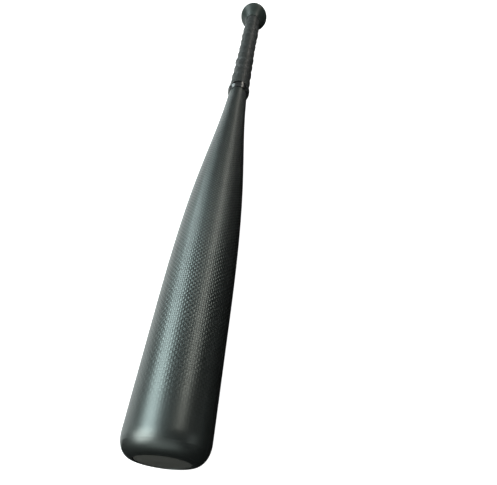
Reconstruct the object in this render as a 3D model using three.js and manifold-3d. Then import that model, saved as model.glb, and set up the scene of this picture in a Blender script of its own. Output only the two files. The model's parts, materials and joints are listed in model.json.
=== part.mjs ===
// A baseball bat of carbon fibre, 32 in long with a 2 5/8 in barrel, lying on its side.
//
// The shell is one hollow moulding from the handle to the barrel's rolled lip.  A soft cap
// snaps into the lip, a knob is bonded on the other end, and a strip wound round the handle
// makes the grip.  Every piece is drawn on the bat's own axis: local Y runs from the knob's
// end face (0) to the barrel's end face (LENGTH), and the radius is local X.  The last lines
// turn that axis and lay the bat down so that barrel and knob both touch Z = 0.

import * as THREE from 'three';
import { mergeVertices } from 'three/addons/utils/BufferGeometryUtils.js';
import Module from 'manifold-3d';

// ---- driving dimensions, mm ----

const LENGTH = 812.8;              // 32 in, end face to end face
const BARREL_RADIUS = 33.3;        // 2 5/8 in barrel
const HANDLE_RADIUS = 11.3;        // bare handle, under the grip
const TAPER_START = 170;           // handle starts to swell here
const TAPER_BEND = 458;            // both handles of the taper's curve lie here
const TAPER_END = 694;             // barrel is parallel from here on
const CORNER_RADIUS = 12;          // roll of the shell at the barrel's end

const BARREL_WALL = 3.4;
const HANDLE_WALL = 3.0;
const SHELL_START = 12;            // handle's end, inside the knob
const BOND_GAP = 0.3;              // glue line or clearance between neighbours

const RING_START = 698;            // stiffening ring inside the barrel
const RING_WIDTH = 24;
const RING_WALL = 2.5;

const CAP_PLATE = 4.5;             // end cap: face plate
const CAP_FLANGE_RADIUS = 26.5;    // snaps in behind the lip
const CAP_FLANGE_DEPTH = 5.5;
const CAP_FLANGE_WIDTH = 4;
const CAP_SKIRT_RADIUS = 22;
const CAP_RECESS_RADIUS = 18;
const CAP_DEPTH = 24;
const CAP_EDGE = 0.5;              // bevel where the cap meets the lip

const KNOB_RADIUS = 25.9;          // widest ring of the knob
const KNOB_WIDEST = 8;             // distance of that ring from the end face
const KNOB_FACE_RADIUS = 18;
const KNOB_NECK_RADIUS = 13.9;
const KNOB_LENGTH = 34;
const PLUG_RADIUS = 7.7;
const PLUG_LENGTH = 16;

const WEIGHT_START = 20;           // balance weight in the handle's bore
const WEIGHT_LENGTH = 30;
const FOAM_LENGTH = 40;            // foam plug that keeps it in place

const UNDERWRAP_THICKNESS = 0.3;
const WRAP_GAP = 0.2;
const WRAP_THICKNESS = 1.3;
const WRAP_PITCH = 26;             // advance of the strip in one turn
const WRAP_SLIT = 0.6;             // open line between one turn and the next
const GRIP_START = KNOB_LENGTH + BOND_GAP;
const GRIP_END = 305;

const COLLAR_START = 301;          // laps over the strip's end
const COLLAR_END = 314;
const COLLAR_WALL = 0.9;           // over the strip
const COLLAR_TIP_WALL = 1.0;       // at the barrel side

const SIDES = 32;                  // facets round the axis
const FIRST_ANGLE = Math.PI / SIDES;    // puts a facet, not an edge, at the bottom

// ---- outlines, as radius and distance from the knob's end face ----

const at = (radius, distance) => new THREE.Vector2(radius, distance);

const disc = (radius, from, to) => [at(0, from), at(radius, from), at(radius, to), at(0, to)];

const closed = (points) => [...points, points[0].clone()];

const tube = (inner, outer, from, to) =>
  closed([at(inner, from), at(outer, from), at(outer, to), at(inner, to)]);

// The taper is one curve, level at both ends, from the handle to the barrel.
const taperCurve = (handle, barrel) => new THREE.CubicBezierCurve(
  at(handle, TAPER_START), at(handle, TAPER_BEND), at(barrel, TAPER_BEND), at(barrel, TAPER_END));

const outerTaper = taperCurve(HANDLE_RADIUS, BARREL_RADIUS);

// Radius of the bare shell at a distance from the knob, by halving along the taper's curve.
function shellRadius(distance) {
  if (distance <= TAPER_START) return HANDLE_RADIUS;
  let low = 0;
  let high = 1;
  for (let step = 0; step < 40; step += 1) {
    const middle = (low + high) / 2;
    if (outerTaper.getPoint(middle).y < distance) low = middle;
    else high = middle;
  }
  return outerTaper.getPoint(low).x;
}

// Evenly spaced distances along a stretch of the bat, both ends included.
const stations = (from, to, count) =>
  Array.from({ length: count + 1 }, (_, index) => from + (to - from) * index / count);

// ---- solids ----

const finish = (color, roughness, metalness = 0) =>
  new THREE.MeshStandardMaterial({ color, roughness, metalness });

function named(name, geometry, material) {
  const mesh = new THREE.Mesh(geometry, material);
  mesh.name = name;
  return mesh;
}

const turned = (name, outline, material) =>
  named(name, new THREE.LatheGeometry(outline, SIDES, FIRST_ANGLE), material);

const wasm = await Module();
wasm.setup();

function asSolid(geometry) {
  const plain = geometry.clone();
  plain.deleteAttribute('normal');
  plain.deleteAttribute('uv');
  const merged = mergeVertices(plain, 1e-4);
  return new wasm.Manifold(new wasm.Mesh({
    numProp: 3,
    vertProperties: merged.attributes.position.array,
    triVerts: new Uint32Array(merged.index.array),
  }));
}

function asGeometry(solid) {
  const mesh = solid.getMesh();
  const geometry = new THREE.BufferGeometry();
  geometry.setAttribute('position', new THREE.BufferAttribute(mesh.vertProperties, 3));
  geometry.setIndex(new THREE.BufferAttribute(mesh.triVerts, 1));
  return geometry;
}

// ---- shell: handle, taper, barrel and rolled lip in one moulding ----

const TAPER_STEPS = 22;
const CORNER_STEPS = 6;
const lipRadius = BARREL_RADIUS - CORNER_RADIUS;
const handleBore = HANDLE_RADIUS - HANDLE_WALL;
const barrelBore = BARREL_RADIUS - BARREL_WALL;

const rolledCorner = (radius) => new THREE.EllipseCurve(
  lipRadius, LENGTH - CORNER_RADIUS, radius, radius, 0, Math.PI / 2);

const shellOutline = closed([
  at(HANDLE_RADIUS, SHELL_START),
  ...outerTaper.getPoints(TAPER_STEPS),
  ...rolledCorner(CORNER_RADIUS).getPoints(CORNER_STEPS),
  ...rolledCorner(CORNER_RADIUS - BARREL_WALL).getPoints(CORNER_STEPS / 2).reverse(),
  ...taperCurve(handleBore, barrelBore).getPoints(TAPER_STEPS / 2).reverse(),
  at(handleBore, SHELL_START),
]);
const barrelShell = turned('barrel_shell', shellOutline, finish(0x1c2221, 0.42));

const ringRadius = barrelBore - BOND_GAP;
const stiffenerRing = turned('stiffener_ring',
  tube(ringRadius - RING_WALL, ringRadius, RING_START, RING_START + RING_WIDTH),
  finish(0x1a1a1a, 0.6));

// ---- end cap, snapped into the lip, and the foam that fills it ----

const capRadius = lipRadius - BOND_GAP;
const flangeTop = LENGTH - CAP_FLANGE_DEPTH;
const flangeFoot = flangeTop - CAP_FLANGE_WIDTH;
const endCap = turned('end_cap', [
  at(0, LENGTH - CAP_PLATE),
  at(CAP_RECESS_RADIUS, LENGTH - CAP_PLATE),
  at(CAP_RECESS_RADIUS, LENGTH - CAP_DEPTH),
  at(CAP_SKIRT_RADIUS, LENGTH - CAP_DEPTH),
  at(CAP_SKIRT_RADIUS, flangeFoot - CAP_FLANGE_WIDTH),
  at(CAP_FLANGE_RADIUS, flangeFoot),
  at(CAP_FLANGE_RADIUS, flangeTop),
  at(capRadius, flangeTop),
  at(capRadius, LENGTH - CAP_EDGE),
  at(capRadius - CAP_EDGE, LENGTH),
  at(0, LENGTH),
], finish(0x2b2d2c, 0.6));

const capFoam = turned('cap_foam',
  disc(CAP_RECESS_RADIUS - BOND_GAP, LENGTH - CAP_DEPTH, LENGTH - CAP_PLATE - BOND_GAP),
  finish(0xb9b4a4, 0.95));

// ---- knob, bonded over the handle's end, and what is behind it ----

const KNOB_STEPS = 7;
const socketRadius = HANDLE_RADIUS + BOND_GAP;
const plugHole = PLUG_RADIUS + BOND_GAP;
const rim = new THREE.CubicBezierCurve(
  at(KNOB_FACE_RADIUS, 0), at(23.5, 0), at(KNOB_RADIUS, 3), at(KNOB_RADIUS, KNOB_WIDEST));
const flare = new THREE.CubicBezierCurve(
  at(KNOB_RADIUS, KNOB_WIDEST), at(KNOB_RADIUS, 2 * KNOB_WIDEST),
  at(KNOB_NECK_RADIUS + 0.7, 20), at(KNOB_NECK_RADIUS, KNOB_LENGTH));
const knob = turned('knob', closed([
  at(plugHole, 0),
  ...rim.getPoints(KNOB_STEPS),
  ...flare.getPoints(KNOB_STEPS).slice(1),
  at(socketRadius, KNOB_LENGTH),
  at(socketRadius, SHELL_START - BOND_GAP),
  at(plugHole, SHELL_START - BOND_GAP),
]), finish(0x151817, 0.35));

const knobPlug = turned('knob_plug', disc(PLUG_RADIUS, 0, PLUG_LENGTH), finish(0x0e0e0e, 0.8));

const weightRadius = handleBore - BOND_GAP;
const weightEnd = WEIGHT_START + WEIGHT_LENGTH;
const balanceWeight = turned('balance_weight',
  disc(weightRadius, WEIGHT_START, weightEnd), finish(0x8d8f92, 0.35, 1));
const handleFoam = turned('handle_foam',
  disc(weightRadius, weightEnd + BOND_GAP, weightEnd + BOND_GAP + FOAM_LENGTH),
  finish(0x3a3a3a, 0.95));

// ---- grip: thin underwrap, a strip wound over it, and a rubber collar on its end ----

const underwrapInner = (distance) => shellRadius(distance) + WRAP_GAP;
const underwrapOuter = (distance) => underwrapInner(distance) + UNDERWRAP_THICKNESS;
const wrapInner = (distance) => underwrapOuter(distance) + WRAP_GAP;
const wrapOuter = (distance) => wrapInner(distance) + WRAP_THICKNESS;

// Outline of a sleeve that follows the shell, between two functions of the distance.
function sleeveOutline(inner, outer, from, to, count) {
  const places = stations(from, to, count);
  const out = places.map((distance) => at(outer(distance), distance));
  const back = places.map((distance) => at(inner(distance), distance)).reverse();
  return closed([...out, ...back]);
}

const gripUnderwrap = turned('grip_underwrap',
  sleeveOutline(underwrapInner, underwrapOuter, GRIP_START, GRIP_END, 10),
  finish(0x1b1b1b, 0.9));

// The strip's middle line.  Its frames keep the section's X radial and its Y along the
// shell's surface, so that every turn lies flat on the handle.
class StripPath extends THREE.Curve {
  constructor(from, to) {
    super();
    this.from = from;
    this.to = to;
  }

  distance(t) {
    return this.from + (this.to - this.from) * t;
  }

  outward(t) {
    const turns = (this.distance(t) - this.from) / WRAP_PITCH;
    const angle = FIRST_ANGLE - turns * 2 * Math.PI;
    return new THREE.Vector3(Math.sin(angle), 0, Math.cos(angle));
  }

  getPoint(t) {
    const point = this.outward(t).multiplyScalar(wrapInner(this.distance(t)));
    point.y = this.distance(t);
    return point;
  }

  getPointAt(t) {
    return this.getPoint(t);
  }

  computeFrenetFrames(segments) {
    const frames = { tangents: [], normals: [], binormals: [] };
    const reach = WRAP_PITCH / 2;
    for (const t of stations(0, 1, segments)) {
      const normal = this.outward(t);
      const middle = this.distance(t);
      const slope = (shellRadius(middle + reach) - shellRadius(middle - reach)) / WRAP_PITCH;
      frames.normals.push(normal);
      frames.binormals.push(normal.clone().multiplyScalar(slope).setY(1));
      frames.tangents.push(new THREE.Vector3(-normal.z, 0, normal.x));
    }
    return frames;
  }
}

const stripTurns = Math.ceil((GRIP_END - GRIP_START) / WRAP_PITCH) + 2;
const stripStart = GRIP_START - WRAP_PITCH;
const halfWidth = (WRAP_PITCH - WRAP_SLIT) / 2;
const stripSection = new THREE.Shape([
  at(0, -halfWidth), at(WRAP_THICKNESS, -halfWidth), at(WRAP_THICKNESS, halfWidth), at(0, halfWidth),
]);
const strip = new THREE.ExtrudeGeometry(stripSection, {
  steps: stripTurns * SIDES,
  extrudePath: new StripPath(stripStart, stripStart + stripTurns * WRAP_PITCH),
});
// Cut square at both ends, as the strip is trimmed when the grip is finished.
const gripSpan = new THREE.LatheGeometry(
  disc(KNOB_RADIUS, GRIP_START, GRIP_END), SIDES, FIRST_ANGLE);
const gripWrap = named('grip_wrap',
  asGeometry(asSolid(strip).intersect(asSolid(gripSpan))), finish(0x232625, 0.75));

const collarStep = GRIP_END + BOND_GAP;
const collarBore = (distance) => shellRadius(distance) + BOND_GAP;
const overStrip = wrapOuter(collarStep) + BOND_GAP;
const collarTop = overStrip + COLLAR_WALL;
const tipRadius = collarBore(COLLAR_END) + COLLAR_TIP_WALL;
const gripCollar = turned('grip_collar', closed([
  at(overStrip, COLLAR_START),
  at(collarTop - 0.4, COLLAR_START),
  at(collarTop, COLLAR_START + 2),
  at(collarTop, COLLAR_START + 6),
  at(tipRadius, COLLAR_END - 1),
  at(tipRadius - 0.5, COLLAR_END),
  at(collarBore(COLLAR_END), COLLAR_END),
  at(collarBore(COLLAR_END), collarStep),
  at(overStrip, collarStep),
]), finish(0x0b0c0c, 0.12));

// ---- assembly ----

const bat = new THREE.Group();
bat.add(barrelShell, stiffenerRing, endCap, capFoam, knob, knobPlug, balanceWeight, handleFoam,
  gripUnderwrap, gripWrap, gripCollar);
bat.rotation.z = Math.PI;          // barrel towards -Y

// The middle of each facet, not its edge, lies on the true circle, so that the bat measures
// its stated width across the flats and rests on them.
const acrossFlats = 1 / Math.cos(Math.PI / SIDES);
bat.scale.set(acrossFlats, 1, acrossFlats);

// Lying down, the bat touches the ground at the knob's widest ring and at the point of the
// shell from which the line to that ring is steepest.
const restAngle = Math.max(...shellOutline.map((point) =>
  Math.atan2(point.x - KNOB_RADIUS, point.y - KNOB_WIDEST)));
const lying = new THREE.Group();
lying.rotation.x = -restAngle;
lying.add(bat);

// Origin at the middle of the underside of the box round the bat.
const box = new THREE.Box3().setFromObject(lying, true);
const centre = box.getCenter(new THREE.Vector3());
lying.position.set(-centre.x, -centre.y, -box.min.z);

export default lying;
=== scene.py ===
import json
import math

import bmesh
import bpy
import numpy as np
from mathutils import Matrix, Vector


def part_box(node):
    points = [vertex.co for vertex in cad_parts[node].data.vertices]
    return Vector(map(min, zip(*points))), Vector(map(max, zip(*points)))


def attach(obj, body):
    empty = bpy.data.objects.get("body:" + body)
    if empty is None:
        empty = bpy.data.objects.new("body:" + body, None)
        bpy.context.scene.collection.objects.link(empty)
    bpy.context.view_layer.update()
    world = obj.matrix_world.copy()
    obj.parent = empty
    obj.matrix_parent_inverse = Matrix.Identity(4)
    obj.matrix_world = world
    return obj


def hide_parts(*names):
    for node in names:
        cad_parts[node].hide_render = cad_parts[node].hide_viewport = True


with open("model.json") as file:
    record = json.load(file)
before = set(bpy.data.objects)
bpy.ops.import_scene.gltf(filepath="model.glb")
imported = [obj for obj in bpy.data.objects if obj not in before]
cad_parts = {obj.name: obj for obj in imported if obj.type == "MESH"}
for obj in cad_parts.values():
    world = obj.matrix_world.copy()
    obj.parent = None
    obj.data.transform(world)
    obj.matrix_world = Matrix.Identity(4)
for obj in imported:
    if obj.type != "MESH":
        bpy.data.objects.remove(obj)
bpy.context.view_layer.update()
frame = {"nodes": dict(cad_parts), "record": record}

mm = 0.001


# ---------------------------------------------------------------------------------------
# The bat's own axis, through the two end faces that the record states.  Every piece is
# turned or wound about it.  It is 0.64 degrees off level, because the bat lies on its barrel
# and on its thinner knob.
# ---------------------------------------------------------------------------------------

faces = {mount["name"]: np.array(mount["pos_m"]) for mount in frame["record"]["mounts"]}
knob_face = faces["knob_end_face"]
whole_bat = faces["barrel_end_face"] - knob_face
along = whole_bat / np.linalg.norm(whole_bat)
side = np.array((1.0, 0.0, 0.0))
up = np.cross(along, side)


def placed(distance, radius, angle):
    """Points in the row frame: knob_face + distance * along + radius * (sin * side + cos * up)."""
    distance, radius, angle = np.broadcast_arrays(distance, radius, angle)
    outward = np.sin(angle)[..., None] * side + np.cos(angle)[..., None] * up
    return knob_face + distance[..., None] * along + radius[..., None] * outward


def reach(node):
    """A CAD node's first and last distance along the axis, and its outer radius."""
    corners = np.array([vertex.co for vertex in frame["nodes"][node].data.vertices])
    distance = (corners - knob_face) @ along
    low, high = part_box(node)
    return distance.min(), distance.max(), (high.x - low.x) / 2


# ---------------------------------------------------------------------------------------
# Barrel shell.  One hollow moulding of carbon cloth in epoxy, from the handle through the
# long taper to the lip that is rolled inwards.  The cloth is a plain weave, with its overlap
# on the underside.  Its satin clear coat thickens towards the lip, which hides the weave.
# ---------------------------------------------------------------------------------------

shell_start, shell_end, barrel_radius = reach("barrel_shell")
handle_radius = 11.3 * mm
handle_wall = 3.0 * mm
barrel_wall = 3.4 * mm
taper_start = 170 * mm
taper_bend = 458 * mm
taper_end = 694 * mm
corner_radius = 12 * mm
lip_radius = barrel_radius - corner_radius
lip_start = shell_end - 16 * mm
lip_shoulder = 9.5 * mm
lip_fall = 7.0 * mm
ply_edge = lip_start + 7.5 * mm
ply_spread = 0.35 * mm
ply_height = 0.06 * mm
tows_round = 104
tow_across = 2 * math.pi * barrel_radius / tows_round
tow_along = 2.17 * mm
tow_relief = 0.30 * mm
coat_thickens = (640 * mm, 775 * mm)
coat_pools = (752 * mm, 786 * mm)
quarter = math.pi / 2


def bezier(first, second, third, last, count):
    """count points of (1-t)^3 first + 3 (1-t)^2 t second + 3 (1-t) t^2 third + t^3 last."""
    t = np.linspace(0, 1, count)[:, None]
    s = 1 - t
    first, second, third, last = (np.array(point) for point in (first, second, third, last))
    return s**3 * first + 3 * s**2 * t * second + 3 * s * t**2 * third + t**3 * last


def arc(distance, radius, bend, begin, end, count):
    """count points of a circle of radius bend: (distance + bend sin a, radius + bend cos a)."""
    a = np.linspace(begin, end, count)
    return np.stack([distance + bend * np.sin(a), radius + bend * np.cos(a)], -1)


def line(first, last, count):
    """count evenly spaced points from first to last, each a distance and a radius."""
    return np.linspace(first, last, count)


def taper(handle, barrel, count):
    """The taper as one cubic, level where it leaves the handle and where it meets the barrel."""
    return bezier((taper_start, handle), (taper_bend, handle),
                  (taper_bend, barrel), (taper_end, barrel), count)


def surface(name, points, cloth, rows_close=False):
    """A closed mesh over a grid of points whose columns close on themselves, with smooth faces
    and crisp edges.  cloth gives each grid corner's place on the cloth, in metres, as its UV."""
    rows, columns = points.shape[:2]
    strips = rows if rows_close else rows - 1
    i, j = np.meshgrid(np.arange(strips), np.arange(columns), indexing="ij")
    steps = ((0, 0), (1, 0), (1, 1), (0, 1))
    quads = np.stack([(i + a) % rows * columns + (j + b) % columns for a, b in steps], -1)
    corners = np.stack([cloth[i + a, j + b] for a, b in steps], -2)
    mesh = bpy.data.meshes.new(name)
    mesh.from_pydata(points.reshape(-1, 3), [], quads.reshape(-1, 4).tolist())
    mesh.uv_layers.new(name="cloth").data.foreach_set("uv", corners.astype(np.float32).ravel())
    edit = bmesh.new()
    edit.from_mesh(mesh)
    bmesh.ops.remove_doubles(edit, verts=edit.verts, dist=1e-6)
    bmesh.ops.recalc_face_normals(edit, faces=edit.faces)
    edit.to_mesh(mesh)
    edit.free()
    mesh.polygons.foreach_set("use_smooth", np.ones(len(mesh.polygons), bool))
    mesh.set_sharp_from_angle(angle=math.radians(35))
    piece = bpy.data.objects.new(name, mesh)
    bpy.context.scene.collection.objects.link(piece)
    return piece


def turned(name, profile, sides, rows_close=False, girth=None):
    """A profile of distances and radii carried round the axis.  The cloth's x is the way round
    from the seam on the underside, at that radius or at the given girth, and its y the way
    along the profile."""
    profile = np.asarray(profile)
    angle = np.linspace(-math.pi, math.pi, sides + 1)
    points = placed(profile[:, :1], profile[:, 1:], angle[None, :-1])
    rows = np.concatenate([profile, profile[:1]]) if rows_close else profile
    travel = np.concatenate([[0], np.cumsum(np.hypot(*np.diff(rows, axis=0).T))])
    girth = rows[:, 1] if girth is None else np.append(girth, girth[0])[:len(rows)]
    cloth = np.stack(np.broadcast_arrays(girth[:, None] * angle, travel[:, None]), -1)
    return surface(name, points, cloth, rows_close)


class Shade:
    """A socket in a material.  Arithmetic on it adds Math nodes and gives a new socket."""

    def __init__(self, tree, socket=None):
        self.tree = tree
        self.socket = socket

    def node(self, kind, inputs=(), output=0, **settings):
        """Adds a node, makes its settings, then sets or links its inputs, and gives an output."""
        made = self.tree.nodes.new(kind)
        for name, value in settings.items():
            setattr(made, name, value)
        for name, value in dict(inputs).items():
            if isinstance(value, Shade):
                self.tree.links.new(value.socket, made.inputs[name])
            else:
                made.inputs[name].default_value = value
        return Shade(self.tree, made.outputs[output] if made.outputs else None)

    def math(self, operation, *others):
        """A Math node on this socket, and on the others after it."""
        return self.node("ShaderNodeMath", enumerate((self, *others)), operation=operation)

    def mix(self, low, high):
        """The colour low where this socket is 0, and high where it is 1."""
        return self.node("ShaderNodeMix", {0: self, 6: low, 7: high}, output=2, data_type="RGBA")

    def fade(self, begin, end, first=0.0, last=1.0):
        """first where this socket is up to begin, last from end on, and 3 t^2 - 2 t^3 between."""
        limits = {"Value": self, "From Min": begin, "From Max": end, "To Min": first, "To Max": last}
        return self.node("ShaderNodeMapRange", limits, interpolation_type="SMOOTHSTEP")

    def __add__(self, other):
        return self.math("ADD", other)

    def __sub__(self, other):
        return self.math("SUBTRACT", other)

    def __rsub__(self, other):
        return self.node("ShaderNodeMath", {0: other, 1: self}, operation="SUBTRACT")

    def __mul__(self, other):
        return self.math("MULTIPLY", other)

    def __lt__(self, other):
        return self.math("LESS_THAN", other)

    def __mod__(self, other):
        return self.math("FLOORED_MODULO", other)

    __radd__ = __add__
    __rmul__ = __mul__


def coloured(red, green, blue):
    return (red, green, blue, 1.0)


def grey(tone):
    return coloured(tone, tone, tone)


def material(name):
    """An empty material, and its tree as a Shade to hang nodes on."""
    made = bpy.data.materials.new(name)
    made.use_nodes = True
    made.node_tree.nodes.clear()
    return made, Shade(made.node_tree)


def finished(made, shade, **inputs):
    """Puts a Principled shader with these inputs on the material's surface."""
    sockets = {name.replace("_", " ").title().replace("Ior", "IOR"): value
               for name, value in inputs.items()}
    shader = shade.node("ShaderNodeBsdfPrincipled", sockets)
    shade.node("ShaderNodeOutputMaterial", {"Surface": shader})
    return made


def bumped(shade, height, depth, strength=1.0, **below):
    """The normal of a surface whose height, from 0 to 1, stands for that depth in metres."""
    return shade.node(
        "ShaderNodeBump", {"Height": height, "Distance": depth, "Strength": strength, **below})


def object_place(shade):
    """Object coordinates, in metres."""
    return shade.node("ShaderNodeTexCoord", output="Object")


def patches(shade, scale, detail):
    """Soft noise from 0 to 1, with about that many patches to the metre."""
    return shade.node(
        "ShaderNodeTexNoise", {"Vector": object_place(shade), "Scale": scale, "Detail": detail})


def cloth_axes(shade):
    """The two coordinates on a piece's cloth, in metres."""
    place = shade.node("ShaderNodeUVMap", uv_map="cloth")
    x = shade.node("ShaderNodeSeparateXYZ", {"Vector": place})
    return x, Shade(shade.tree, x.socket.node.outputs["Y"])


def woven_carbon():
    """Plain weave: the warp is on top where column + row is even.  A tow is a rounded ridge,
    1 - 3.6 u^2 across, that dips as 1 - 1.2 v^2 where it passes under its neighbours.  Each
    tow has its own tone, and the warp shines more than the weft.  The relief and the tones
    fade out where the clear coat is thick."""
    made, shade = material("carbon_cloth_satin")
    around, travel = cloth_axes(shade)
    x = around * (1 / tow_across)
    y = travel * (1 / tow_along)
    column = x.math("FLOOR")
    row = y.math("FLOOR")
    u = x - column - 0.5
    v = y - row - 0.5
    warp_up = (column + row) % 2 < 0.5
    warp = (1 - 3.6 * u * u) * (1 - 1.2 * v * v)
    weft = (1 - 3.6 * v * v) * (1 - 1.2 * u * u)
    height = weft + warp_up * (warp - weft)
    tow_number = shade.node(
        "ShaderNodeCombineXYZ", {0: column * warp_up, 1: row * (1 - warp_up)})
    tow_noise = shade.node(
        "ShaderNodeTexWhiteNoise", {"Vector": tow_number}, noise_dimensions="3D")

    crown = 0.46 + 0.54 * height.math("MAXIMUM", 0.0)
    lay = 0.50 + 0.50 * warp_up
    own_tone = 0.80 + 0.40 * tow_noise
    even_sheen = 0.60
    shown = travel.fade(*coat_thickens, 1.0, 0.3) * travel.fade(*coat_pools, 1.0, 0.15)
    sheen = even_sheen + shown * (crown * lay * own_tone - even_sheen)

    cloud = patches(shade, 35.0, 3.0)
    grain = patches(shade, 900.0, 2.0)
    relief = bumped(shade, height * shown, tow_relief, 0.8)
    return finished(
        made, shade,
        base_color=sheen.mix(coloured(0.014, 0.020, 0.019), coloured(0.158, 0.178, 0.172)),
        metallic=0.95,
        roughness=0.40 - 0.11 * shown + 0.06 * (cloud - 0.5),
        coat_weight=0.5,
        coat_roughness=0.32,
        normal=bumped(shade, grain, 0.02 * mm, 0.35, Normal=relief),
    )


rolled = bezier((lip_start, barrel_radius), (lip_start + lip_shoulder, barrel_radius),
                (shell_end, lip_radius + lip_fall), (shell_end, lip_radius), 64)
ply_step = ply_height * np.exp(-((rolled[:, 0] - ply_edge) / ply_spread) ** 2)
rolled = rolled + ply_step[:, None] * (0, 1)
outer = [
    line((shell_start, handle_radius), (taper_start, handle_radius), 8)[:-1],
    taper(handle_radius, barrel_radius, 150)[:-1],
    line((taper_end, barrel_radius), (lip_start, barrel_radius), 24)[:-1],
    rolled,
]
bore_radius = handle_radius - handle_wall
inner = [
    arc(shell_end - corner_radius, lip_radius, corner_radius - barrel_wall, quarter, 0, 10),
    taper(bore_radius, barrel_radius - barrel_wall, 40)[::-1],
    line((taper_start, bore_radius), (shell_start, bore_radius), 4)[1:],
]
wall = np.concatenate(outer + inner)
wall_girth = np.where(wall[:, 0] > taper_end, barrel_radius, wall[:, 1])
shell = turned("carbon_shell", wall, 192, rows_close=True, girth=wall_girth)
shell.data.materials.append(woven_carbon())
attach(shell, "root")
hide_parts("barrel_shell")


# ---------------------------------------------------------------------------------------
# Stiffening ring.  A hoop of bare carbon glued inside the barrel, which stops the wall from
# flexing too far.  It is wound from tape, so its filaments run round it.
# ---------------------------------------------------------------------------------------

ring_start, ring_end, ring_radius = reach("stiffener_ring")
ring_wall = 2.5 * mm
ring_edge = 0.6 * mm


def hoop_profile(first, last, inner_radius, outer_radius, edge, count=6):
    """A rectangle of distances and radii with its four corners rounded to the radius edge."""
    return np.concatenate([
        arc(first + edge, outer_radius - edge, edge, -quarter, 0, count),
        arc(last - edge, outer_radius - edge, edge, 0, quarter, count),
        arc(last - edge, inner_radius + edge, edge, quarter, 2 * quarter, count),
        arc(first + edge, inner_radius + edge, edge, 2 * quarter, 3 * quarter, count),
    ])


def wound_carbon():
    """Fine filaments round the hoop: noise stretched along the cloth's x."""
    made, shade = material("carbon_wound_bare")
    x, y = cloth_axes(shade)
    strand = shade.node("ShaderNodeCombineXYZ", {0: x * 6.0, 1: y * 900.0})
    filaments = shade.node("ShaderNodeTexNoise", {"Vector": strand, "Scale": 4.0, "Detail": 3.0})
    return finished(
        made, shade,
        base_color=filaments.mix(coloured(0.012, 0.012, 0.013), coloured(0.07, 0.07, 0.075)),
        metallic=0.4,
        roughness=0.45 + 0.2 * filaments,
        normal=bumped(shade, filaments, 0.05 * mm, 0.5),
    )


ring_profile = hoop_profile(ring_start, ring_end, ring_radius - ring_wall, ring_radius, ring_edge)
ring = turned("stiffening_ring", ring_profile, 96, rows_close=True)
ring.data.materials.append(wound_carbon())
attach(ring, "root")
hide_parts("stiffener_ring")


# ---------------------------------------------------------------------------------------
# End cap.  A moulded urethane cap that snaps behind the rolled lip.  Only its round face
# shows, inside the fine crease that its rounded edge makes with the lip.
# ---------------------------------------------------------------------------------------

cap_start, cap_end, _ = reach("end_cap")
cap_radius = lip_radius - 0.25 * mm
cap_crown = 0.35 * mm
cap_edge = 0.8 * mm
cap_plate = cap_end - 4.5 * mm
flange_radius = 26.5 * mm
flange_top = shell_end - 5.5 * mm
flange_foot = flange_top - 4 * mm
flange_slope = flange_foot - 4 * mm
skirt_radius = 22 * mm
recess_radius = 18 * mm


def moulded(name, dark, light, roughness, grain_size, grain_depth, **more):
    """Moulded urethane: fine pebbles from the mould's texture, and a slow change in tone."""
    made, shade = material(name)
    pebbles = shade.node(
        "ShaderNodeTexVoronoi", {"Vector": object_place(shade), "Scale": 1 / grain_size})
    cloud = patches(shade, 60.0, 4.0)
    tone = 0.7 * cloud + 0.3 * pebbles
    return finished(
        made, shade,
        base_color=tone.mix(dark, light),
        roughness=roughness + 0.16 * (cloud - 0.5),
        normal=bumped(shade, pebbles, grain_depth, 0.5),
        **more,
    )


crown = np.linspace(cap_radius - cap_edge, 0, 14)
cap_profile = np.concatenate([
    [(cap_plate, 0), (cap_plate, recess_radius), (cap_start, recess_radius)],
    [(cap_start, skirt_radius), (flange_slope, skirt_radius)],
    [(flange_foot, flange_radius), (flange_top, flange_radius), (flange_top, cap_radius)],
    arc(cap_end - cap_crown - cap_edge, cap_radius - cap_edge, cap_edge, 0, quarter, 8),
    np.stack([cap_end - cap_crown * (crown / cap_radius) ** 2, crown], -1)[1:],
])
cap = turned("barrel_end_cap", cap_profile, 128)
cap.data.materials.append(moulded(
    "cap_urethane_grain", coloured(0.040, 0.041, 0.036), coloured(0.060, 0.061, 0.054),
    roughness=0.62, grain_size=0.7 * mm, grain_depth=0.05 * mm))
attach(cap, "root")
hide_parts("end_cap")


# ---------------------------------------------------------------------------------------
# Foams.  Closed-cell blocks: one fills the cap's recess and deadens the sound, the other
# sits in the handle's bore and keeps the balance weight in place.
# ---------------------------------------------------------------------------------------

foam_edge = 0.8 * mm
foams = {
    "cap_foam": ("cap_foam_block", coloured(0.36, 0.34, 0.29), coloured(0.52, 0.50, 0.45)),
    "handle_foam": ("handle_foam_plug", grey(0.03), grey(0.08)),
}


def cell_foam(name, dark, light):
    """Closed cells of about a millimetre, with thin pale walls between them."""
    made, shade = material(name)
    cells = shade.node("ShaderNodeTexVoronoi", {"Vector": object_place(shade), "Scale": 900.0})
    return finished(
        made, shade,
        base_color=cells.mix(dark, light),
        roughness=0.95 - 0.1 * cells,
        normal=bumped(shade, cells, 0.3 * mm, 0.6),
    )


for node, (name, dark, light) in foams.items():
    foam_start, foam_end, foam_radius = reach(node)
    block = turned(name, np.concatenate([
        [(foam_start, 0)],
        arc(foam_start + foam_edge, foam_radius - foam_edge, foam_edge, -quarter, 0, 6),
        arc(foam_end - foam_edge, foam_radius - foam_edge, foam_edge, 0, quarter, 6),
        [(foam_end, 0)],
    ]), 64)
    block.data.materials.append(cell_foam(name, dark, light))
    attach(block, "root")
    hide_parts(node)


# ---------------------------------------------------------------------------------------
# Knob.  Moulded urethane, bonded over the handle's end: a broad rim with a nearly flat end
# face, and a flare that runs down into the grip.  A rubber plug closes the hole in its end.
# ---------------------------------------------------------------------------------------

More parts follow.
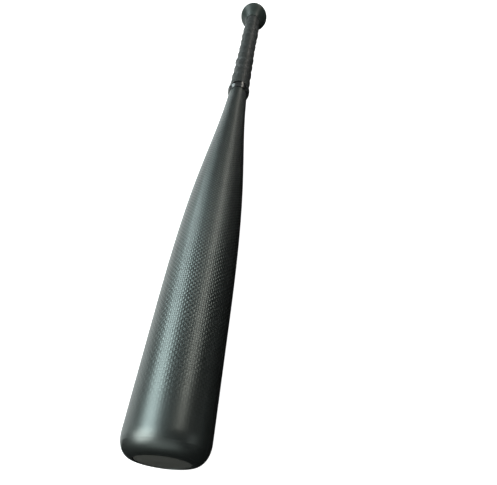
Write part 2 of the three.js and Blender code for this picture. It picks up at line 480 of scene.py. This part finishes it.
_, knob_length, knob_radius = reach("knob")
knob_face_radius = 18 * mm
rim_swell = 23.5 * mm
rim_depth = 3 * mm
rim_widest = 6.8 * mm
flare_shoulder = rim_widest + 8 * mm
flare_foot = 20 * mm
neck_radius = 13.9 * mm
neck_swell = neck_radius + 0.7 * mm
_, plug_end, plug_radius = reach("knob_plug")
hole_radius = plug_radius + 0.3 * mm
hole_edge = 0.6 * mm
socket_radius = handle_radius + 0.3 * mm
socket_end = shell_start - 0.3 * mm

knob_profile = np.concatenate([
    arc(hole_edge, hole_radius + hole_edge, hole_edge, -2 * quarter, -quarter, 6),
    line((0, hole_radius + 2 * hole_edge), (0, knob_face_radius), 6),
    bezier((0, knob_face_radius), (0, rim_swell),
           (rim_depth, knob_radius), (rim_widest, knob_radius), 26)[1:],
    bezier((rim_widest, knob_radius), (flare_shoulder, knob_radius),
           (flare_foot, neck_swell), (knob_length, neck_radius), 44)[1:],
    [(knob_length, socket_radius), (socket_end, socket_radius), (socket_end, hole_radius)],
])
knob = turned("moulded_knob", knob_profile, 160, rows_close=True)
knob.data.materials.append(moulded(
    "knob_urethane_half_gloss", coloured(0.010, 0.015, 0.013), coloured(0.026, 0.035, 0.031),
    roughness=0.40, grain_size=0.9 * mm, grain_depth=0.03 * mm, specular_ior_level=0.32))
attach(knob, "root")
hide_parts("knob")

plug_sunk = 0.5 * mm
plug_crown = 0.3 * mm
plug_edge = 0.6 * mm
plug_edge_start = 0.9 * mm
dish = np.linspace(0, plug_radius - plug_edge_start, 8)
plug_profile = np.concatenate([
    np.stack([plug_sunk - plug_crown * (dish / plug_radius) ** 2, dish], -1),
    arc(plug_edge_start, plug_radius - plug_edge, plug_edge, -quarter, 0, 6),
    [(plug_end, plug_radius), (plug_end, 0)],
])
plug = turned("knob_end_plug", plug_profile, 64)
plug.data.materials.append(moulded(
    "plug_rubber_matte", grey(0.008), grey(0.018),
    roughness=0.8, grain_size=0.5 * mm, grain_depth=0.03 * mm))
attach(plug, "root")
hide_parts("knob_plug")


# ---------------------------------------------------------------------------------------
# Balance weight.  A turned steel slug with chamfered ends, in the handle's bore behind the
# knob.
# ---------------------------------------------------------------------------------------

weight_start, weight_end, weight_radius = reach("balance_weight")
chamfer = 0.8 * mm
lathe_feed = 0.2 * mm


def turned_steel():
    """Fine rings left by the lathe, one for each turn of its feed along the slug."""
    made, shade = material("turned_steel")
    x, y = cloth_axes(shade)
    rings = (y * (2 * math.pi / lathe_feed)).math("SINE")
    smear = patches(shade, 250.0, 3.0)
    return finished(
        made, shade,
        base_color=smear.mix(coloured(0.42, 0.43, 0.44), coloured(0.62, 0.63, 0.64)),
        metallic=1.0,
        roughness=0.28 + 0.12 * smear,
        normal=bumped(shade, rings, 0.01 * mm, 0.5),
    )


weight = turned("handle_balance_weight", [
    (weight_start, 0), (weight_start, weight_radius - chamfer), (weight_start + chamfer, weight_radius),
    (weight_end - chamfer, weight_radius), (weight_end, weight_radius - chamfer), (weight_end, 0),
], 64)
weight.data.materials.append(turned_steel())
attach(weight, "root")
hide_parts("balance_weight")


# ---------------------------------------------------------------------------------------
# Underwrap.  Thin cloth tape, stuck down on the bare handle, that the grip's strip holds to.
# Its sleeve follows the shell as the handle swells.
# ---------------------------------------------------------------------------------------

grip_start, grip_end, _ = reach("grip_underwrap")
tape_gap = 0.2 * mm
tape_thickness = 0.3 * mm
thread_pitch = 1.0 * mm
shell_line = np.concatenate([[(0, handle_radius)], taper(handle_radius, barrel_radius, 400)])


def shell_radius(distance):
    """The bare shell's radius at a distance along the axis, read off the taper's curve."""
    return np.interp(distance, shell_line[:, 0], shell_line[:, 1])


def cloth_tape():
    """Plain weave: sin(x) sin(y), so that the threads go over and under in turn both ways."""
    made, shade = material("cloth_tape")
    x, y = cloth_axes(shade)
    turns = 2 * math.pi / thread_pitch
    threads = 0.5 + 0.5 * (x * turns).math("SINE") * (y * turns).math("SINE")
    return finished(
        made, shade,
        base_color=threads.mix(grey(0.010), grey(0.045)),
        roughness=0.85 + 0.1 * threads,
        normal=bumped(shade, threads, 0.1 * mm, 0.6),
    )


places = np.linspace(grip_start, grip_end, 40)
tape_inner = shell_radius(places) + tape_gap
tape = turned("cloth_underwrap", np.concatenate([
    np.stack([places, tape_inner + tape_thickness], -1),
    np.stack([places, tape_inner], -1)[::-1],
]), 96, rows_close=True)
tape.data.materials.append(cloth_tape())
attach(tape, "root")
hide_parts("grip_underwrap")


# ---------------------------------------------------------------------------------------
# Grip.  One strip of embossed synthetic leather, wound by hand from the knob up the handle.
# Each turn lies over the skived far edge of the turn before, so an uneven step and a fine
# groove run round the handle in a spiral.  Both ends are cut square.
# ---------------------------------------------------------------------------------------

grip_length = grip_end - grip_start
grip_pitch = 26 * mm
strip_width = grip_pitch + 3 * mm
strip_thickness = 1.3 * mm
strip_lift = 1.0 * mm
strip_base = tape_gap + tape_thickness + tape_gap
skived_thickness = (0.42 * mm, 0.10 * mm)
first_turn = -strip_width / grip_pitch
last_turn = grip_length / grip_pitch
held_turns = 1.2
settle_width = 9 * mm
rounding_width = 0.9 * mm
skive_width = 1.8 * mm
strip_rows = 1232
# Where the winding was slack: the turn, how much further it stands out, and its spread.
slack_turns = ((6.7, 0.9, 0.6), (2.4, 0.7, 0.7), (8.4, 0.5, 0.5))
dimple_pitch = 2.4 * mm


def smooth(value):
    """0 below 0, 1 above 1, and 3 v^2 - 2 v^3 between."""
    value = np.clip(value, 0, 1)
    return value * value * (3 - 2 * value)


def strip_heights(across, turn):
    """Inner and outer height over the tape at a distance across the strip, from the near edge.
    The near edge is lifted by the turn below and settles across the strip.  It stands higher
    by extra * exp(-((turn - middle) / spread)^2) round each slack turn, and lies flat where
    the collar holds the last one."""
    slack = 0.8
    for middle, extra, spread in slack_turns:
        slack = slack + extra * np.exp(-((turn - middle) / spread) ** 2)
    settle = 1 - smooth(across / settle_width)
    lift = strip_lift * slack * settle * smooth(turn) * smooth((last_turn - turn) / held_turns)
    rounded = 0.8 + 0.2 * np.sqrt(np.clip(across / rounding_width, 0, 1))
    shoulder = smooth((grip_pitch - across) / skive_width)
    skived = np.interp(across, [grip_pitch, strip_width], skived_thickness)
    thickness = skived + (strip_thickness * rounded - skived) * shoulder
    return lift, lift + thickness


def embossed_leather():
    """Rows of small round dimples, staggered, on a fine creased skin.  The dimples are painted darker
    than the skin: painted shade.
    """
    made, shade = material("grip_leather_embossed")
    x, y = cloth_axes(shade)
    x = x * (1 / dimple_pitch)
    y = y * (1 / dimple_pitch)
    row = y.math("FLOOR")
    shifted = x + 0.5 * (row % 2)
    dx = shifted - shifted.math("FLOOR") - 0.5
    dy = y - row - 0.5
    skin_level = (dx * dx + dy * dy).math("SQRT").fade(0.14, 0.30)
    creases = shade.node(
        "ShaderNodeTexVoronoi", {"Vector": object_place(shade), "Scale": 1500.0}, feature="SMOOTH_F1")
    cloud = patches(shade, 45.0, 4.0)
    relief = bumped(shade, skin_level, 0.25 * mm, 0.7)
    # Painted shade: the colour goes near black inside each dimple, where the relief stands lower.
    tone = skin_level * (0.55 + 0.45 * cloud)
    return finished(
        made, shade,
        base_color=tone.mix(coloured(0.004, 0.005, 0.005), coloured(0.023, 0.026, 0.025)),
        roughness=0.48 - 0.14 * cloud,
        specular_ior_level=0.44,
        normal=bumped(shade, creases, 0.06 * mm, 0.5, Normal=relief),
    )


section = mm * np.concatenate([
    np.linspace(0, 1.0, 7),
    np.linspace(1.5, 5.0, 7),
    np.linspace(6.5, 22.5, 9),
    np.linspace(24, 26, 9),
    np.linspace(26.4, 29, 4),
])
turns = np.linspace(first_turn, last_turn, strip_rows)[1:-1, None]
across = np.clip(section, -grip_pitch * turns, grip_length - grip_pitch * turns)
across = np.clip(across, 0, strip_width)
strip_distance = grip_start + grip_pitch * turns + across
inner_height, outer_height = strip_heights(across, turns)
base = shell_radius(strip_distance) + strip_base
spiral = 2 * math.pi * turns
skin = placed(strip_distance, base + outer_height, spiral)
back = placed(strip_distance, base + inner_height, spiral)
strip_travel = spiral * (handle_radius + strip_base + strip_thickness)
cloth = np.stack(np.broadcast_arrays(strip_travel, across), -1)
cloth = np.concatenate([cloth[:, ::-1], cloth, cloth[:, -1:]], 1)
wrap = surface("grip_strip", np.concatenate([skin[:, ::-1], back], 1), cloth)
wrap.data.materials.append(embossed_leather())
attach(wrap, "root")
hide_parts("grip_wrap")


# ---------------------------------------------------------------------------------------
# Collar.  A moulded rubber ring, stretched over the end of the grip's strip so that it can't
# unwind.  It is glossy, thick over the strip and thinner where it lies on the shell.
# ---------------------------------------------------------------------------------------

collar_start, collar_end, collar_radius = reach("grip_collar")
collar_gap = 0.3 * mm
collar_bore = shell_radius(collar_end) + collar_gap
collar_lap = collar_radius - 0.9 * mm
mouth_edge = 0.45 * mm
mouth_foot = collar_lap + mouth_edge + 0.01 * mm
tip_radius = collar_bore + 1.0 * mm
tip_edge = 0.8 * mm
lap_end = grip_end + collar_gap
band_end = collar_start + 3 * mm


def glossy_rubber():
    """Smooth rubber with faint drips in its gloss."""
    made, shade = material("collar_rubber_glossy")
    cloud = patches(shade, 160.0, 3.0)
    return finished(
        made, shade,
        base_color=cloud.mix(grey(0.004), coloured(0.012, 0.013, 0.013)),
        roughness=0.12 + 0.12 * cloud,
        coat_weight=0.5,
        coat_roughness=0.06,
        normal=bumped(shade, cloud, 0.05 * mm, 0.3),
    )


collar_profile = np.concatenate([
    arc(collar_start + mouth_edge, collar_lap + mouth_edge, mouth_edge, -2 * quarter, -quarter, 6),
    bezier((collar_start, mouth_foot), (collar_start, collar_radius - 0.05 * mm),
           (collar_start + 1.2 * mm, collar_radius), (band_end, collar_radius), 12),
    bezier((band_end, collar_radius), (band_end + 7 * mm, collar_radius),
           (collar_end - 6 * mm, tip_radius + 0.5 * mm), (collar_end - 1.2 * mm, tip_radius), 20)[1:],
    arc(collar_end - tip_edge, tip_radius - tip_edge, tip_edge, 0, quarter, 8)[1:],
    [(collar_end, collar_bore), (lap_end, shell_radius(lap_end) + collar_gap), (lap_end, collar_lap)],
])
collar = turned("rubber_collar", collar_profile, 128, rows_close=True)
collar.data.materials.append(glossy_rubber())
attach(collar, "root")
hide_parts("grip_collar")


# ---------------------------------------------------------------------------------------
# Floor, light and camera.  A white table in a dim room.  A cool window, a lamp by the barrel
# and a weaker warm window draw its streaks, and the ceiling lights only the table.  Dark
# cards, which only reflections see, paint shade on the barrel's right flank and on its lip.
# ---------------------------------------------------------------------------------------

scene = bpy.context.scene
scene.view_settings.view_transform = "Standard"
table_half = 8.0
card_height = 1 * mm


def panel(name, outline, height):
    """A flat quadrilateral in the room, which isn't part of the bat."""
    mesh = bpy.data.meshes.new(name)
    mesh.from_pydata([(x, y, height) for x, y in outline], [], [(0, 1, 2, 3)])
    flat = bpy.data.objects.new(name, mesh)
    scene.collection.objects.link(flat)
    return flat


def white_table():
    """Matt white that glows to the eye alone, so that the table stays dim in reflections."""
    made, shade = material("white_table")
    seen = shade.node("ShaderNodeLightPath", output="Is Camera Ray")
    return finished(
        made, shade,
        base_color=patches(shade, 3.0, 2.0).mix(grey(0.49), grey(0.51)),
        roughness=0.7,
        emission_color=seen.mix(grey(0.0), grey(0.85)),
        emission_strength=1.0,
    )


table = panel("table", [(-table_half, -table_half), (table_half, -table_half),
                        (table_half, table_half), (-table_half, table_half)], 0)
table.data.materials.append(white_table())

black = finished(*material("black_card"), base_color=grey(0.0), roughness=1.0)
# Painted shade: black sheets that only glossy rays see, darkening the reflections in the barrel's right
# flank and in its lip.
cards = {
    "side_card": [(0.004, -0.46), (0.80, -0.46), (0.80, 0.80), (0.004, 0.55)],
    "front_card": [(-1.2, -2.0), (0.80, -2.0), (0.80, -0.40), (-1.2, -0.40)],
}
for name, outline in cards.items():
    card = panel(name, outline, card_height)
    card.visible_camera = card.visible_diffuse = card.visible_shadow = False
    card.data.materials.append(black)

world = bpy.data.worlds.new("dim_room")
scene.world = world
world.use_nodes = True
world.node_tree.nodes.clear()
room = Shade(world.node_tree)
seen = room.node("ShaderNodeLightPath", output="Is Camera Ray")
backdrop = room.node("ShaderNodeBackground", {"Color": seen.mix(grey(0.02), grey(1.0))})
room.node("ShaderNodeOutputWorld", {"Surface": backdrop})


def soft_light(name, centre, aim, size, colour, radiance, glossy=True):
    """A rectangular light of the given length and height, level, and aimed at a point."""
    lamp = bpy.data.lights.new(name, "AREA")
    lamp.shape = "RECTANGLE"
    lamp.size, lamp.size_y = size
    lamp.color = colour
    lamp.energy = radiance * math.pi * size[0] * size[1]
    light = bpy.data.objects.new(name, lamp)
    light.location = centre
    light.rotation_euler = (Vector(aim) - Vector(centre)).to_track_quat("-Z", "Y").to_euler()
    light.visible_glossy = glossy
    scene.collection.objects.link(light)


soft_light("cool_window", (-2.0, 1.65, 1.75), (0.0, 2.38, 0.0), (5.0, 1.3), (0.84, 0.98, 0.99), 4.8)
soft_light("overhead", (0.0, 1.8, 2.2), (0.0, 1.8, 0.0), (5.0, 1.8), (0.92, 1.0, 1.0), 0.5)
soft_light("lamp", (-1.25, -0.92, 1.05), (0.0, -0.42, 0.0), (1.1, 1.4), (0.96, 1.0, 0.97), 5.0)
soft_light("warm_window", (1.2, 2.6, 1.8), (0.0, 2.6, 0.0), (5.0, 0.5), (1.0, 0.94, 0.85), 3.0)
soft_light("front_glow", (0.0, -2.4, 1.3), (0.0, -0.4, 0.0), (3.0, 1.8), (0.92, 1.0, 0.96), 0.6)
soft_light("side_fill", (1.5, -0.66, 0.50), (0.0, -0.66, 0.03), (0.7, 0.4), (0.95, 1.0, 0.97), 0.8)
soft_light("ceiling", (0.0, 0.0, 4.0), (0.0, 0.0, 0.0), (10.0, 10.0), (1.0, 1.0, 1.0), 0.75,
           glossy=False)

camera = bpy.data.objects.new("camera", bpy.data.cameras.new("camera"))
camera.data.sensor_width = 36
camera.data.lens = 28.4
camera_dip = math.radians(50.2)
camera_turn = math.radians(5.05)
camera.location = (0.0649, -0.4580, 0.3440)
camera.rotation_euler = (math.pi / 2 - camera_dip, 0, camera_turn)
scene.collection.objects.link(camera)
scene.camera = camera
